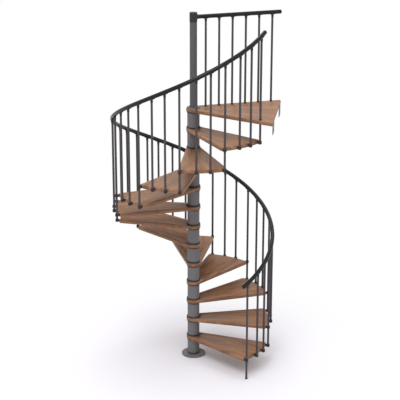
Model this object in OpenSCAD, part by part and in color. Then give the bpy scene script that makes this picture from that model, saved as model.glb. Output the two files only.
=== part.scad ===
// Spiral staircase with wooden treads on a steel column, a helical handrail and a landing guard.
// The stair climbs anticlockwise seen from above. Z is up, and the origin is on the column's axis at the floor.

/* [Climb] */
// Number of treads below the landing
tread_count = 12; // [8:1:14]
// Height from one tread top to the next
riser = 210; // [190:1:235]
// Height of the first tread's top above the floor
first_rise = 230; // [205:1:260]
// Turn from one tread to the next, in degrees
step_angle = 30.92; // [28:0.02:34]
// Direction of the first long baluster, in degrees
first_angle = -47.95; // [-60:0.05:-30]

/* [Column] */
// Diameter of the floor plate
plate_d = 250; // [220:1:320]
// Thickness of the floor plate
plate_t = 15; // [8:1:25]
// Diameter of the anchor holes in the floor plate
anchor_d = 11; // [8:0.5:14]
// Diameter of the circle of anchor holes
anchor_pcd = 190; // [170:1:200]
// Number of anchor holes
anchor_count = 4; // [3:1:8]
// Height of the dark ring at the column's foot
collar_h = 20; // [10:1:40]
// Outer diameter of the central tube
tube_d = 74; // [60:1:80]
// Wall of the central tube
tube_wall = 4; // [2:0.5:6]
// Outer diameter of the spacer sleeves
sleeve_d = 127; // [110:1:138]
// Wall of the spacer sleeves
sleeve_wall = 3; // [2:0.5:6]
// Thickness of the washers under each hub
ring_t = 9; // [4:1:12]
// How far a washer under a hub stands out past the sleeve
ring_lip = 5; // [0.5:0.5:6]
// Thickness of the wide washers on top of each hub
top_ring_t = 11; // [4:1:15]
// How far a wide washer stays inside the hub's edge
top_ring_inset = 2; // [0.5:0.5:5]
// Thickness of the disc on the landing's hub
disc_t = 8; // [4:1:20]

/* [Treads] */
// Thickness of the treads and the landing
tread_t = 40; // [34:1:50]
// Radius of the treads' outer edge
tread_r = 802; // [700:1:900]
// Radius of the round hub end of the treads and the landing
hub_r = 74; // [71:0.5:90]
// How far a tread runs on in front of its front baluster
front_run = 21; // [16:1:30]
// How far a tread runs on behind its back baluster
back_run = 35; // [30:1:45]
// Radius of the treads' front corners in plan
front_corner_r = 12; // [11.5:0.5:16]
// Radius of the treads' back corners in plan
back_corner_r = 22; // [11.5:0.5:26]
// Radius of the rounded edges of the boards
edge_r = 10; // [4:0.5:11]

/* [Landing] */
// Turn from the last long baluster to the landing's guard, in degrees
guard_turn_angle = 55.61; // [45:0.01:70]
// How far the landing's outer edge lies beyond the balusters' circle
landing_beyond = 24; // [0:1:150]
// How far the landing runs on in front of the last long baluster
landing_front_run = 22; // [16:0.5:40]
// How far the landing runs on behind the last baluster of its guard
landing_back_run = 32; // [25:0.5:50]
// Turn of the landing's outer edge from square to its centre line, in degrees
landing_skew_angle = 0.74; // [-3:0.02:3]
// Radius of the landing's outer corners in plan
landing_corner_r = 12; // [11.5:0.5:30]
// Number of balusters in the landing's guard
guard_count = 6; // [4:1:7]
// Distance from the axis to the first baluster of the guard
guard_first = 131; // [110:1:150]
// How far the last baluster of the guard lies beyond the balusters' circle
guard_beyond = 16; // [0:1:40]
// Length of the guard's rail past its last baluster
guard_overrun = 99; // [40:1:110]
// Height of the guard's rail centre above the landing
guard_h = 930; // [850:1:1000]

/* [Balustrade] */
// Distance from the treads' outer edge to the circle that the balusters and the handrail follow
baluster_gap = 28; // [24:0.5:45]
// Diameter of the balusters
baluster_d = 22; // [18:0.5:25]
// Turn from a front baluster to the first one between, in degrees
first_between_angle = 11.31; // [9:0.01:12]
// Turn from a front baluster to the second one between, in degrees
second_between_angle = 20.88; // [19:0.01:22]
// Diameter of the handrail and the guard's rail
rail_d = 42; // [38:1:50]
// Height of the handrail's centre above each tread at its front baluster
rail_h = 839; // [780:1:950]
// Turn of the handrail past its first and last balusters, in degrees
rail_overrun_angle = 4.1; // [3:0.1:8]
// Wall of the sockets round the balusters
grip_wall = 1.6; // [1.2:0.1:3]
// Length of a baluster's end inside a socket
socket_depth = 20; // [12:1:35]
// Floor of the sockets
socket_floor = 6; // [3:0.5:8]
// Length of the saddles under the rails
saddle_l = 48; // [36:1:48]
// Width of the saddles under the rails
saddle_w = 30; // [26:1:32]
// Thickness of the saddles under the rails
saddle_t = 3; // [2:0.5:5]
// Widest diameter of a clip
clip_d = 36; // [33:0.5:42]
// Diameter of a clip's flat ends
clip_end_d = 27; // [26:0.5:31]
// Distance from the top of a tread down to the tops of its clips
clip_drop = 3; // [0:0.5:5]
// Height of the clips
clip_h = 32; // [28:0.5:34]
// Height of the slopes at a clip's ends
clip_ease = 6; // [3:0.5:9]
// Depth of a baluster's end below the top of its tread
clip_seat = 24; // [18:0.5:25]
// Width of the neck between a clip and its tread
neck_w = 20; // [16:0.5:22]
// Height of the neck between a clip and its tread
neck_h = 26; // [16:0.5:28]
// Widest diameter of the feet of the balusters
foot_d = 28; // [26.5:0.5:34]
// Height of the feet of the balusters
foot_h = 13; // [10:0.5:20]

/* [Post cap and brackets] */
// Height of the cap on the post
cap_h = 94; // [80:1:110]
// How far the cap rises above the centre of the guard's rail
cap_above = 46; // [34:1:55]
// Wall of the cap round the post
cap_wall = 2; // [1.5:0.5:5]
// Length of the collar where the guard's rail meets the cap
cap_collar = 14; // [8:1:25]
// Distance of each bracket from the landing's centre line
bracket_offset = 345; // [300:1:350]
// Width of the brackets
bracket_w = 140; // [110:1:150]
// Depth of the bracket leg under the landing
bracket_leg = 70; // [50:1:90]
// Drop of the bracket leg against the upper floor's edge
bracket_drop = 105; // [80:1:120]
// Thickness of the brackets
bracket_t = 6; // [4:0.5:10]
// Diameter of the fixing holes in the brackets
bracket_hole_d = 11; // [8:0.5:13]
// Distance of the fixing holes below the landing
bracket_hole_low = 60; // [40:1:65]
// Distance between a bracket's two fixing holes
bracket_hole_pitch = 90; // [60:1:100]

/* [Hidden] */
// Gap between a tube or rail and what fits round it
fit_gap = 0.2;
// How far a cutting tool reaches past the surface that it cuts
cut_over = 1;
// Facets of round pieces
$fn = 64;
// Direction of the first anchor hole
anchor_angle = 45;
// Sides of the swept handrail
rail_sides = 16;
// Lengths of the swept handrail in each step
rail_lengths = 9;
// Rings of the rounded ends of the handrail
end_rings = 4;
// Steps of the arcs in the boards' outlines
outer_arc_steps = 12;
corner_arc_steps = 4;
hub_arc_steps = 18;
// Turns, in degrees, at which the boards' round edges have a line
edge_turns = [0, 45, 90];

baluster_r = tread_r + baluster_gap;
landing_level = tread_count + 1;
last_turn = first_angle + tread_count * step_angle;
// The guard's direction and the places of its balusters along it
guard_angle = last_turn + guard_turn_angle;
guard_last = baluster_r + guard_beyond;
guard_pitch = (guard_last - guard_first) / (guard_count - 1);
guard_reach = guard_last + guard_overrun;
// Directions of the landing's front and back edges, from the balusters next to them
landing_front = last_turn + asin((hub_r - landing_front_run) / baluster_r);
landing_back = guard_angle - asin((hub_r - landing_back_run) / guard_last);
// Direction of the landing's axis, square to its outer edge
landing_angle = (landing_front + landing_back) / 2 + landing_skew_angle;
landing_reach = baluster_r + landing_beyond;
landing_z = level_z(landing_level);
guard_z = landing_z + guard_h;
cap_top = guard_z + cap_above;
cap_bottom = cap_top - cap_h;
tube_top = cap_top - cap_wall - socket_floor;
collar_top = plate_t + collar_h;
bore_d = baluster_d + 2 * fit_gap;
socket_d = bore_d + 2 * grip_wall;
rail_r = rail_d / 2;
// Length of the rounded ends of the rails
rail_nose = rail_r / 2;
cap_r = tube_d / 2 + fit_gap + cap_wall;
// Slope of the handrail, and the height of its underside below its centre
rail_slope = atan(riser / (baluster_r * step_angle * PI / 180));
rail_drop = rail_r / cos(rail_slope);
baluster_turns = [0, first_between_angle, second_between_angle];

WOOD = [0.53, 0.37, 0.26];
GREY = [0.44, 0.43, 0.43];
DARK_GREY = [0.33, 0.33, 0.34];
BLACK = [0.14, 0.14, 0.14];

function two_digits(n) = str(n < 10 ? "0" : "", n);
function tread_name(n) = str("tread_", two_digits(n));
function baluster_name(n) = str("balusters_", two_digits(n));

// Height of the top of a tread; the landing is the level after the last tread
function level_z(n) = first_rise + riser * (n - 1);
// Direction of the front baluster of a tread
function front_turn(n) = first_angle + step_angle * (n - 1);
// Height of the handrail's centre at a direction
function rail_z(turn) = first_rise + rail_h + riser * (turn - first_angle) / step_angle;
// Points of an arc, both ends included
function arc(centre, r, from, to, steps) =
    [for (i = [0:steps]) let (a = from + (to - from) * i / steps) centre + r * [cos(a), sin(a)]];
function polar(r, a) = r * [cos(a), sin(a)];

// Outline of a tread whose corners lie at two directions: straight edges tangent to the round hub,
// an outer arc, and rounded corners. The inset moves the whole outline inwards.
function tread_outline(from, to, inset) =
    let (
        lean = asin(hub_r / tread_r),
        front = from + lean,
        back = to - lean,
        front_mid = front - asin((hub_r - front_corner_r) / (tread_r - front_corner_r)),
        back_mid = back + asin((hub_r - back_corner_r) / (tread_r - back_corner_r))
    )
    concat(
        arc(polar(tread_r - front_corner_r, front_mid), front_corner_r - inset, front - 90, front_mid,
            corner_arc_steps),
        arc([0, 0], tread_r - inset, front_mid, back_mid, outer_arc_steps),
        arc(polar(tread_r - back_corner_r, back_mid), back_corner_r - inset, back_mid, back + 90,
            corner_arc_steps),
        arc([0, 0], hub_r - inset, back + 90, front + 270, hub_arc_steps));

// Outline of the landing about its axis: edges tangent to the hub, and a straight outer edge square to the axis
function landing_outline(inset) =
    let (
        front = landing_front - landing_angle,
        back = landing_back - landing_angle,
        corner_x = landing_reach - landing_corner_r,
        front_y = (corner_x * sin(front) - (hub_r - landing_corner_r)) / cos(front),
        back_y = (corner_x * sin(back) + (hub_r - landing_corner_r)) / cos(back)
    )
    concat(
        arc([corner_x, front_y], landing_corner_r - inset, front - 90, 0, corner_arc_steps),
        arc([corner_x, back_y], landing_corner_r - inset, 0, back + 90, corner_arc_steps),
        arc([0, 0], hub_r - inset, back + 90, front + 270, hub_arc_steps));

// Places children at a direction and a distance from the axis
module around(turn, r = 0) {
    rotate([0, 0, turn]) translate([r, 0, 0]) children();
}

// A washer or sleeve round the axis
module ring(d, bore_d, from_z, to_z) {
    translate([0, 0, from_z]) difference() {
        cylinder(d = d, h = to_z - from_z);
        translate([0, 0, -cut_over]) cylinder(d = bore_d, h = to_z - from_z + 2 * cut_over);
    }
}

// A straight rod from one height to another
module rod(d, from_z, to_z) {
    translate([0, 0, from_z]) cylinder(d = d, h = to_z - from_z);
}

// How far the outline of a board lies inside its edge, and how far from its face, at a turn of its round edge
function edge_inset(turn) = edge_r * (1 - cos(turn));
function edge_drop(turn) = edge_r * (1 - sin(turn));

// The wooden board of a tread or the landing with rounded edges, from its outlines at the edges' turns
module board(outlines) {
    hull() for (k = [0:len(edge_turns) - 1]) {
        drop = edge_drop(edge_turns[k]);
        translate([0, 0, drop]) linear_extrude(tread_t - 2 * drop) polygon(outlines[k]);
    }
}

// The bore of a hub, through a board's thickness
module hub_bore() {
    translate([0, 0, -cut_over]) cylinder(d = tube_d + 2 * fit_gap, h = tread_t + 2 * cut_over);
}

// The space that the handrail takes up where it passes over a baluster
module rail_space(slope) {
    rotate([slope - 90, 0, 0]) cylinder(r = rail_r + fit_gap, h = 4 * rail_d, center = true);
}

// The lower part of a sleeve round the rail
module rail_saddle(slope) {
    intersection() {
        rotate([slope - 90, 0, 0]) cylinder(r = rail_r + fit_gap + saddle_t, h = saddle_l, center = true);
        rotate([slope, 0, 0]) translate([-saddle_w / 2, -saddle_l, -rail_d]) cube([saddle_w, 2 * saddle_l, rail_d]);
    }
}

// A socket under a rail, with the baluster's end in it and a saddle shaped to the rail
module rail_socket(slope) {
    drop = rail_r / cos(slope);
    mouth = -drop - socket_floor - socket_depth;
    difference() {
        union() {
            rod(socket_d, mouth, 0);
            rail_saddle(slope);
        }
        rod(bore_d, mouth - cut_over, -drop - socket_floor);
        rail_space(slope);
    }
}

// A foot round a baluster, a little wider at the bottom
module foot() {
    cylinder(d1 = foot_d, d2 = socket_d, h = foot_h);
}

// The neck that joins a clip to the edge of its tread
module clip_neck() {
    neck_from = tread_r + fit_gap - baluster_r;
    neck_top = -(tread_t - neck_h) / 2;
    translate([neck_from, -neck_w / 2, neck_top - neck_h]) cube([-neck_from, neck_w, neck_h]);
}

// The round body of a clip, drawn in at both ends
module clip_body() {
    low = -clip_drop - clip_h;
    rotate_extrude() polygon([
        [0, low], [clip_end_d / 2, low], [clip_d / 2, low + clip_ease],
        [clip_d / 2, -clip_drop - clip_ease], [clip_end_d / 2, -clip_drop], [0, -clip_drop]]);
}

// A clip with the baluster running through it
module front_clip() {
    difference() {
        union() {
            clip_body();
            clip_neck();
        }
        rod(bore_d, -tread_t, 0);
    }
}

// A clip that holds the lower end of a baluster, closed underneath
module end_clip() {
    difference() {
        union() {
            clip_body();
            clip_neck();
        }
        rod(bore_d, -clip_seat, 0);
    }
}

// Cross-sections of the handrail: its direction, radius and the length by which it is moved along the rail.
// The radius follows a quarter circle at each end.
function rail_stations() =
    let (
        from = first_angle - rail_overrun_angle,
        to = last_turn + rail_overrun_angle,
        count = ceil(rail_lengths * (to - from) / step_angle)
    )
    concat(
        [for (i = [0:end_rings - 1]) let (a = 90 * (i + 0.5) / end_rings)
            [from, rail_r * sin(a), -rail_nose * cos(a)]],
        [for (i = [0:count]) [from + (to - from) * i / count, rail_r, 0]],
        [for (i = [end_rings - 1:-1:0]) let (a = 90 * (i + 0.5) / end_rings)
            [to, rail_r * sin(a), rail_nose * cos(a)]]);

// One cross-section of the handrail, square to its slope
function rail_ring(station) =
    let (
        turn = station[0],
        out = [cos(turn), sin(turn), 0],
        along = [-sin(turn) * cos(rail_slope), cos(turn) * cos(rail_slope), sin(rail_slope)],
        up = cross(out, along),
        centre = baluster_r * out + [0, 0, rail_z(turn)] + station[2] * along
    )
    [for (k = [0:rail_sides - 1]) let (a = 360 * k / rail_sides)
        centre + station[1] * (cos(a) * out + sin(a) * up)];

module base_plate() {
    color(GREY) difference() {
        rod(plate_d, 0, plate_t);
        for (k = [0:anchor_count - 1])
            around(anchor_angle + 360 * k / anchor_count, anchor_pcd / 2) rod(anchor_d, -cut_over, plate_t + cut_over);
    }
}

module base_collar() {
    color(BLACK) ring(sleeve_d, tube_d + 2 * fit_gap, plate_t, collar_top);
}

module central_tube() {
    color(GREY) ring(tube_d, tube_d - 2 * tube_wall, plate_t, tube_top);
}

// One sleeve stands on the foot collar, and the others between the washers of neighbouring levels
module column_sleeves() {
    color(GREY) for (n = [1:landing_level]) {
        from_z = n == 1 ? collar_top : level_z(n - 1) + top_ring_t;
        ring(sleeve_d, sleeve_d - 2 * sleeve_wall, from_z, level_z(n) - tread_t - ring_t);
    }
}

module hub_rings() {
    bore = tube_d + 2 * fit_gap;
    color(BLACK) for (n = [1:landing_level]) {
        under = level_z(n) - tread_t;
        ring(sleeve_d + 2 * ring_lip, bore, under - ring_t, under);
        if (n < landing_level) ring(2 * (hub_r - top_ring_inset), bore, level_z(n), level_z(n) + top_ring_t);
    }
}

module landing_disc() {
    color(GREY) ring(sleeve_d, tube_d + 2 * fit_gap, landing_z, landing_z + disc_t);
}

module tread(n) {
    from = front_turn(n) - asin(front_run / tread_r);
    to = front_turn(n + 1) + asin(back_run / tread_r);
    color(WOOD) translate([0, 0, level_z(n) - tread_t]) difference() {
        board([for (turn = edge_turns) tread_outline(from, to, edge_inset(turn))]);
        hub_bore();
    }
}

// The last long baluster runs down through the landing, near its front edge
module landing() {
    color(WOOD) translate([0, 0, landing_z - tread_t]) difference() {
        around(landing_angle) board([for (turn = edge_turns) landing_outline(edge_inset(turn))]);
        hub_bore();
        around(last_turn, baluster_r)
            rod(bore_d, -cut_over, tread_t + cut_over);
    }
}

// The long baluster at a tread's front corner ends in the clip of the tread below, or in the foot on the floor.
// The ones between end in the clips of their own tread.
module baluster_set(n) {
    long_end = n == 1 ? socket_floor : level_z(n - 1) - clip_seat;
    between = n <= tread_count ? len(baluster_turns) - 1 : 0;
    color(DARK_GREY) for (m = [0:between]) {
        turn = front_turn(n) + baluster_turns[m];
        low = m == 0 ? long_end : level_z(n) - clip_seat;
        around(turn, baluster_r) rod(baluster_d, low, rail_z(turn) - rail_drop - socket_floor);
    }
}

module leg_foot() {
    color(BLACK) around(first_angle, baluster_r) difference() {
        foot();
        rod(bore_d, socket_floor, foot_h + cut_over);
    }
}

module front_clips() {
    color(BLACK) for (n = [1:tread_count])
        around(front_turn(n), baluster_r) translate([0, 0, level_z(n)]) front_clip();
}

module end_clips() {
    color(BLACK) for (n = [1:tread_count])
        for (turn = [first_between_angle, second_between_angle, step_angle])
            around(front_turn(n) + turn, baluster_r) translate([0, 0, level_z(n)]) end_clip();
}

module rail_sockets() {
    color(BLACK) for (n = [1:landing_level])
        for (m = [0:n <= tread_count ? len(baluster_turns) - 1 : 0]) {
            turn = front_turn(n) + baluster_turns[m];
            around(turn, baluster_r) translate([0, 0, rail_z(turn)]) rail_socket(rail_slope);
        }
}

module handrail() {
    rings = [for (station = rail_stations()) rail_ring(station)];
    last = len(rings) - 1;
    sides = [for (j = [0:last - 1]) for (k = [0:rail_sides - 1])
        let (next = (k + 1) % rail_sides)
        [j * rail_sides + k, (j + 1) * rail_sides + k, (j + 1) * rail_sides + next, j * rail_sides + next]];
    ends = [[for (k = [0:rail_sides - 1]) k],
        [for (k = [rail_sides - 1:-1:0]) last * rail_sides + k]];
    color(BLACK) polyhedron(points = [for (r = rings) each r], faces = concat(sides, ends));
}

// Turns children so that their Z runs out along the guard's rail
module guard_line() {
    around(guard_angle) translate([0, 0, guard_z]) rotate([0, 90, 0]) children();
}

// Places children at each baluster of the landing's guard
module along_guard() {
    for (k = [0:guard_count - 1]) around(guard_angle, guard_first + guard_pitch * k) children();
}

// The ring on the landing's top round the last long baluster
module landing_ring() {
    color(BLACK) around(last_turn, baluster_r) translate([0, 0, landing_z]) difference() {
        foot();
        rod(bore_d, -cut_over, foot_h + cut_over);
    }
}

module landing_balusters() {
    color(DARK_GREY) along_guard()
        rod(baluster_d, landing_z + socket_floor, guard_z - rail_r - socket_floor);
}

module landing_foot_sockets() {
    color(BLACK) along_guard() translate([0, 0, landing_z]) difference() {
        foot();
        rod(bore_d, socket_floor, foot_h + cut_over);
    }
}

module landing_rail_sockets() {
    color(BLACK) along_guard() translate([0, 0, guard_z]) rotate([0, 0, 90]) rail_socket(0);
}

// The straight rail starts at the post's cap and ends in a rounded nose
module landing_rail() {
    nose_from = guard_reach - rail_nose;
    color(BLACK) difference() {
        guard_line() rotate_extrude() polygon(concat(
            [[0, 0], [rail_r, 0]],
            [for (i = [0:end_rings]) let (a = 90 * i / end_rings)
                [rail_r * cos(a), nose_from + rail_nose * sin(a)]]));
        rod(2 * (cap_r + fit_gap), guard_z - rail_d, guard_z + rail_d);
    }
}

// A cap with a chamfered rim that fits over the tube, with a collar for the guard's rail
module post_cap() {
    rim = cap_wall;
    color(BLACK) union() {
        difference() {
            rotate_extrude() polygon([
                [0, cap_bottom], [cap_r, cap_bottom], [cap_r, cap_top - rim], [cap_r - rim, cap_top],
                [0, cap_top]]);
            rod(tube_d + 2 * fit_gap, cap_bottom - cut_over, tube_top);
        }
        difference() {
            guard_line() rod(rail_d + 2 * (fit_gap + cap_wall), 0, cap_r + cap_collar);
            guard_line() rod(rail_d + 2 * fit_gap, 0, cap_r + cap_collar + cut_over);
            rod(2 * cap_r, guard_z - 2 * rail_d, guard_z + 2 * rail_d);
        }
    }
}

// Steel angles: one leg under the landing, the other down the edge of the upper floor
module landing_brackets() {
    under = landing_z - tread_t;
    for (side = [-1, 1])
        color(GREY) around(landing_angle) translate([0, side * bracket_offset, under]) difference() {
            union() {
                translate([landing_reach - bracket_leg, -bracket_w / 2, -bracket_t])
                    cube([bracket_leg, bracket_w, bracket_t]);
                translate([landing_reach - bracket_t, -bracket_w / 2, -bracket_drop])
                    cube([bracket_t, bracket_w, bracket_drop]);
            }
            for (y = [-1, 1])
                translate([landing_reach - bracket_t / 2, y * bracket_hole_pitch / 2, -bracket_hole_low])
                    rotate([0, 90, 0]) cylinder(d = bracket_hole_d, h = 2 * bracket_t, center = true);
        }
}

base_plate();
base_collar();
central_tube();
column_sleeves();
hub_rings();
landing_disc();
landing();
for (n = [1:tread_count])
    tread(n);
for (n = [1:landing_level])
    baluster_set(n);
leg_foot();
front_clips();
end_clips();
rail_sockets();
handrail();
landing_ring();
landing_balusters();
landing_foot_sockets();
landing_rail_sockets();
landing_rail();
post_cap();
landing_brackets();
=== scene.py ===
"""Looks of a spiral staircase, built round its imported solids. All lengths are in metres."""

import math

import bpy
import numpy as np
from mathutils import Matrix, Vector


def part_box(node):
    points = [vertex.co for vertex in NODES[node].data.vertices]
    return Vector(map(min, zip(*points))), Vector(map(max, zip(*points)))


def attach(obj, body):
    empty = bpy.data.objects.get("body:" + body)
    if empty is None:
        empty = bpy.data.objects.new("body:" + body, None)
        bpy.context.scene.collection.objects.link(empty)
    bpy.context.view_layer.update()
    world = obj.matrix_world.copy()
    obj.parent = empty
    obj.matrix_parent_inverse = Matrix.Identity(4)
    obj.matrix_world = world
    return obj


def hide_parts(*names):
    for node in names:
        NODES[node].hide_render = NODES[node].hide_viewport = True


bl_info = {
    "name": "Spiral staircase looks",
    "version": (1, 0, 0),
    "blender": (4, 5, 0),
    "location": "3D View > Sidebar > Staircase",
    "description": "Wooden boards, handrail, clips and finishes of a spiral staircase",
    "category": "Object",
}

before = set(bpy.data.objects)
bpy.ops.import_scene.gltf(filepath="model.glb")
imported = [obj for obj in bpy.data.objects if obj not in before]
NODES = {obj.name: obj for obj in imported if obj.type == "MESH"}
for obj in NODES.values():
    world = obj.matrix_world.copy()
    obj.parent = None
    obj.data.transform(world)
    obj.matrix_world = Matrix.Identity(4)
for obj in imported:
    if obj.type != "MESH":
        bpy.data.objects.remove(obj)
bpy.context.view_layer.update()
BODY = "root"
QUARTER = math.pi / 2

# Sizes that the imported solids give
TREAD_NAMES = sorted(name for name in NODES if name.startswith("tread_"))
TREAD_COUNT = len(TREAD_NAMES)
BALUSTER_NAMES = sorted(name for name in NODES if name.startswith("balusters_"))
BOARD_LOW, BOARD_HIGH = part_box(TREAD_NAMES[0])
FIRST_RISE = BOARD_HIGH.z
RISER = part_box(TREAD_NAMES[1])[1].z - FIRST_RISE
BOARD_T = BOARD_HIGH.z - BOARD_LOW.z


# Properties


def length(name, description, default):
    """A length property in metres."""
    return bpy.props.FloatProperty(
        name=name, description=description, default=default, unit="LENGTH", precision=4)


def turn(name, description, degrees):
    """An angle property, given in degrees and kept in radians."""
    return bpy.props.FloatProperty(
        name=name, description=description, default=math.radians(degrees), subtype="ANGLE")


def tint(name, description, default):
    """A colour property in linear RGB."""
    return bpy.props.FloatVectorProperty(
        name=name, description=description, default=default, subtype="COLOR", size=3, min=0.0, max=1.0)


def share(name, description, default):
    """A number between 0 and 1."""
    return bpy.props.FloatProperty(
        name=name, description=description, default=default, subtype="FACTOR", min=0.0, max=1.0)


def light(name, description, default):
    """A brightness of at least 0, where 1 is white."""
    return bpy.props.FloatProperty(name=name, description=description, default=default, min=0.0)


def power(name, description, watts):
    """The power of a lamp."""
    return bpy.props.FloatProperty(
        name=name, description=description, default=watts, min=0.0, unit="POWER")


class StaircaseSizes(bpy.types.PropertyGroup):
    """The sizes that the boards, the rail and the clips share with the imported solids."""

    first_angle: turn("First direction", "Direction of the first long baluster", -47.95)
    step_angle: turn("Step turn", "Turn from one tread to the next", 30.92)
    first_between: turn("First between", "Turn from a front baluster to the first one between", 11.31)
    second_between: turn("Second between", "Turn from a front baluster to the second one between", 20.88)
    guard_turn: turn("Guard turn", "Turn from the last long baluster to the landing's guard", 55.61)
    first_rise: length("First rise", "Height of the first tread's top", FIRST_RISE)
    riser: length("Rise", "Height from one tread top to the next", RISER)
    board_t: length("Board thickness", "Thickness of the treads and the landing", BOARD_T)
    tread_r: length("Tread radius", "Radius of the treads' outer edge", 0.802)
    hub_r: length("Hub radius", "Radius of the round hub end of the boards", 0.074)
    bore_r: length("Hub bore radius", "Radius of the bore that the central tube fills", 0.0372)
    front_run: length("Front run", "Board in front of a tread's front baluster", 0.021)
    back_run: length("Back run", "Board behind a tread's back baluster", 0.035)
    front_corner_r: length("Front corners", "Radius of the treads' front corners in plan", 0.012)
    back_corner_r: length("Back corners", "Radius of the treads' back corners in plan", 0.022)
    edge_r: length("Edge rounding", "Radius of the boards' rounded edges", 0.010)
    baluster_gap: length("Baluster gap", "From the treads' edge to the balusters' circle", 0.028)
    baluster_d: length("Baluster diameter", "Diameter of the balusters", 0.022)
    landing_beyond: length("Landing beyond", "Landing edge beyond the balusters' circle", 0.024)
    landing_front_run: length("Landing front run", "Landing in front of the last long baluster", 0.022)
    landing_back_run: length("Landing back run", "Landing behind the guard's last baluster", 0.032)
    landing_skew: turn("Landing skew", "Turn of the landing's outer edge from square to its middle", 0.74)
    landing_corner_r: length("Landing corners", "Radius of the landing's outer corners", 0.012)
    guard_beyond: length("Guard beyond", "Guard's last baluster beyond the balusters' circle", 0.016)
    rail_d: length("Rail diameter", "Diameter of the handrail", 0.042)
    rail_h: length("Rail height", "Handrail's centre above a tread at its front baluster", 0.839)
    rail_overrun: turn("Rail overrun", "Turn of the handrail past its end balusters", 4.1)
    clip_d: length("Clip diameter", "Widest diameter of a clip", 0.036)
    clip_end_d: length("Clip ends", "Diameter of a clip's flat ends", 0.027)
    clip_drop: length("Clip drop", "From the top of a tread down to the tops of its clips", 0.003)
    clip_h: length("Clip height", "Height of the clips", 0.032)
    clip_ease: length("Clip rounding", "Height of the round ends of a clip", 0.006)
    clip_seat: length("Clip seat", "Depth of a baluster's end below the top of its tread", 0.024)
    neck_w: length("Neck width", "Width of the neck between a clip and its tread", 0.020)
    neck_h: length("Neck height", "Height of the neck between a clip and its tread", 0.026)
    ring_d: length("Washer diameter", "Diameter of the washers under the hubs", 0.137)
    ring_t: length("Washer thickness", "Thickness of the washers under the hubs", 0.009)
    top_ring_d: length("Wide washer diameter", "Diameter of the washers on top of the hubs", 0.144)
    top_ring_t: length("Wide washer thickness", "Thickness of the washers on top of the hubs", 0.011)
    washer_edge: length("Washer rounding", "Radius of the round edges of the washers", 0.0022)
    anchor_r: length("Anchor circle", "Radius of the circle of anchor holes in the floor plate", 0.095)
    anchor_cap_r: length("Anchor cap", "Radius of the caps over the anchor holes", 0.0115)
    set_screw_r: length("Set screw", "Radius of the set screws in the clips and the post's cap", 0.0032)
    wood_screw_r: length("Wood screw", "Radius of the screw heads at the landing", 0.0055)
    landing_screw_turn: turn("Landing screw", "Direction of the screw by the last long baluster", -36.13)
    landing_screw_out: length("Landing screw distance", "Distance of that screw from the axis", 0.867)
    bracket_offset: length("Bracket offset", "Distance of each bracket from the landing's axis", 0.345)
    bracket_leg: length("Bracket leg", "Depth of the bracket leg under the landing", 0.070)
    bracket_t: length("Bracket thickness", "Thickness of the brackets", 0.006)
    bracket_screw_pitch: length("Bracket screws", "Distance between a bracket's two screws", 0.084)


class StaircaseFinish(bpy.types.PropertyGroup):
    """The colours and gloss of the staircase's finishes."""

    wood_light: tint("Pale wood", "Colour of the wood between its streaks", (0.389, 0.2085, 0.115))
    wood_dark: tint("Dark wood", "Colour of the wood's streaks", (0.148, 0.0665, 0.0342))
    wood_rough: share("Wood roughness", "Roughness of the satin lacquer", 0.48)
    column_grey: tint("Column grey", "Coating of the sleeves, plate and brackets", (0.166, 0.161, 0.166))
    post_grey: tint("Post grey", "Coating of the tube that shows as the post", (0.098, 0.096, 0.100))
    column_rough: share("Column roughness", "Roughness of the column's coating", 0.50)
    baluster_grey: tint("Baluster grey", "Coating of the balusters", (0.068, 0.061, 0.069))
    baluster_rough: share("Baluster roughness", "Roughness of the balusters' coating", 0.50)
    screw_grey: tint("Screw grey", "Blackened steel of the screws", (0.034, 0.034, 0.036))
    screw_rough: share("Screw roughness", "Roughness of the screws' steel", 0.34)
    fitting_black: tint("Fitting black", "Plastic of the clips, sockets and rings", (0.027, 0.0258, 0.0265))
    fitting_rough: share("Fitting roughness", "Roughness of the moulded plastic", 0.48)
    rail_black: tint("Rail black", "Plastic sleeve of the rails", (0.008, 0.0077, 0.008))
    rail_rough: share("Rail roughness", "Roughness of the rails' sleeve", 0.20)


class StaircaseStage(bpy.types.PropertyGroup):
    """The floor, the lamps and the camera."""

    floor_colour: tint("Floor", "Colour of the floor near the stair", (0.828, 0.814, 0.861))
    floor_fade_from: length("Fade from", "Distance at which the floor starts to fade to white", 0.7)
    floor_fade_to: length("Fade to", "Distance at which the floor is white", 2.4)
    sky_low: light("Light at the horizon", "Brightness of the surroundings at the horizon", 0.02)
    sky_high: light("Light overhead", "Brightness of the surroundings overhead", 1.56)
    key_power: power("Key lamp", "Power of the large lamp in front", 265.0)
    top_power: power("Top lamp", "Power of the lamp above and behind", 70.0)
    camera_place: bpy.props.FloatVectorProperty(
        name="Camera", description="Place of the camera", default=(0.136, -13.067, 6.128),
        subtype="TRANSLATION")
    camera_pitch: turn("Camera pitch", "How far the camera looks down", 18.506)
    camera_yaw: turn("Camera yaw", "How far the camera looks to the left", 0.516)
    camera_lens: bpy.props.FloatProperty(
        name="Lens", description="Focal length of the camera", default=118.84, unit="CAMERA")
    camera_shift: bpy.props.FloatProperty(
        name="Sideways shift", description="Sideways shift of the camera's frame", default=0.012)


# Shader building

SEEN_RAYS = ("Is Camera Ray", "Is Glossy Ray", "Is Transmission Ray")
MIX_FACTOR = 0
MIX_FIRST = 6
MIX_SECOND = 7
MIX_RESULT = 2


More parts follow.
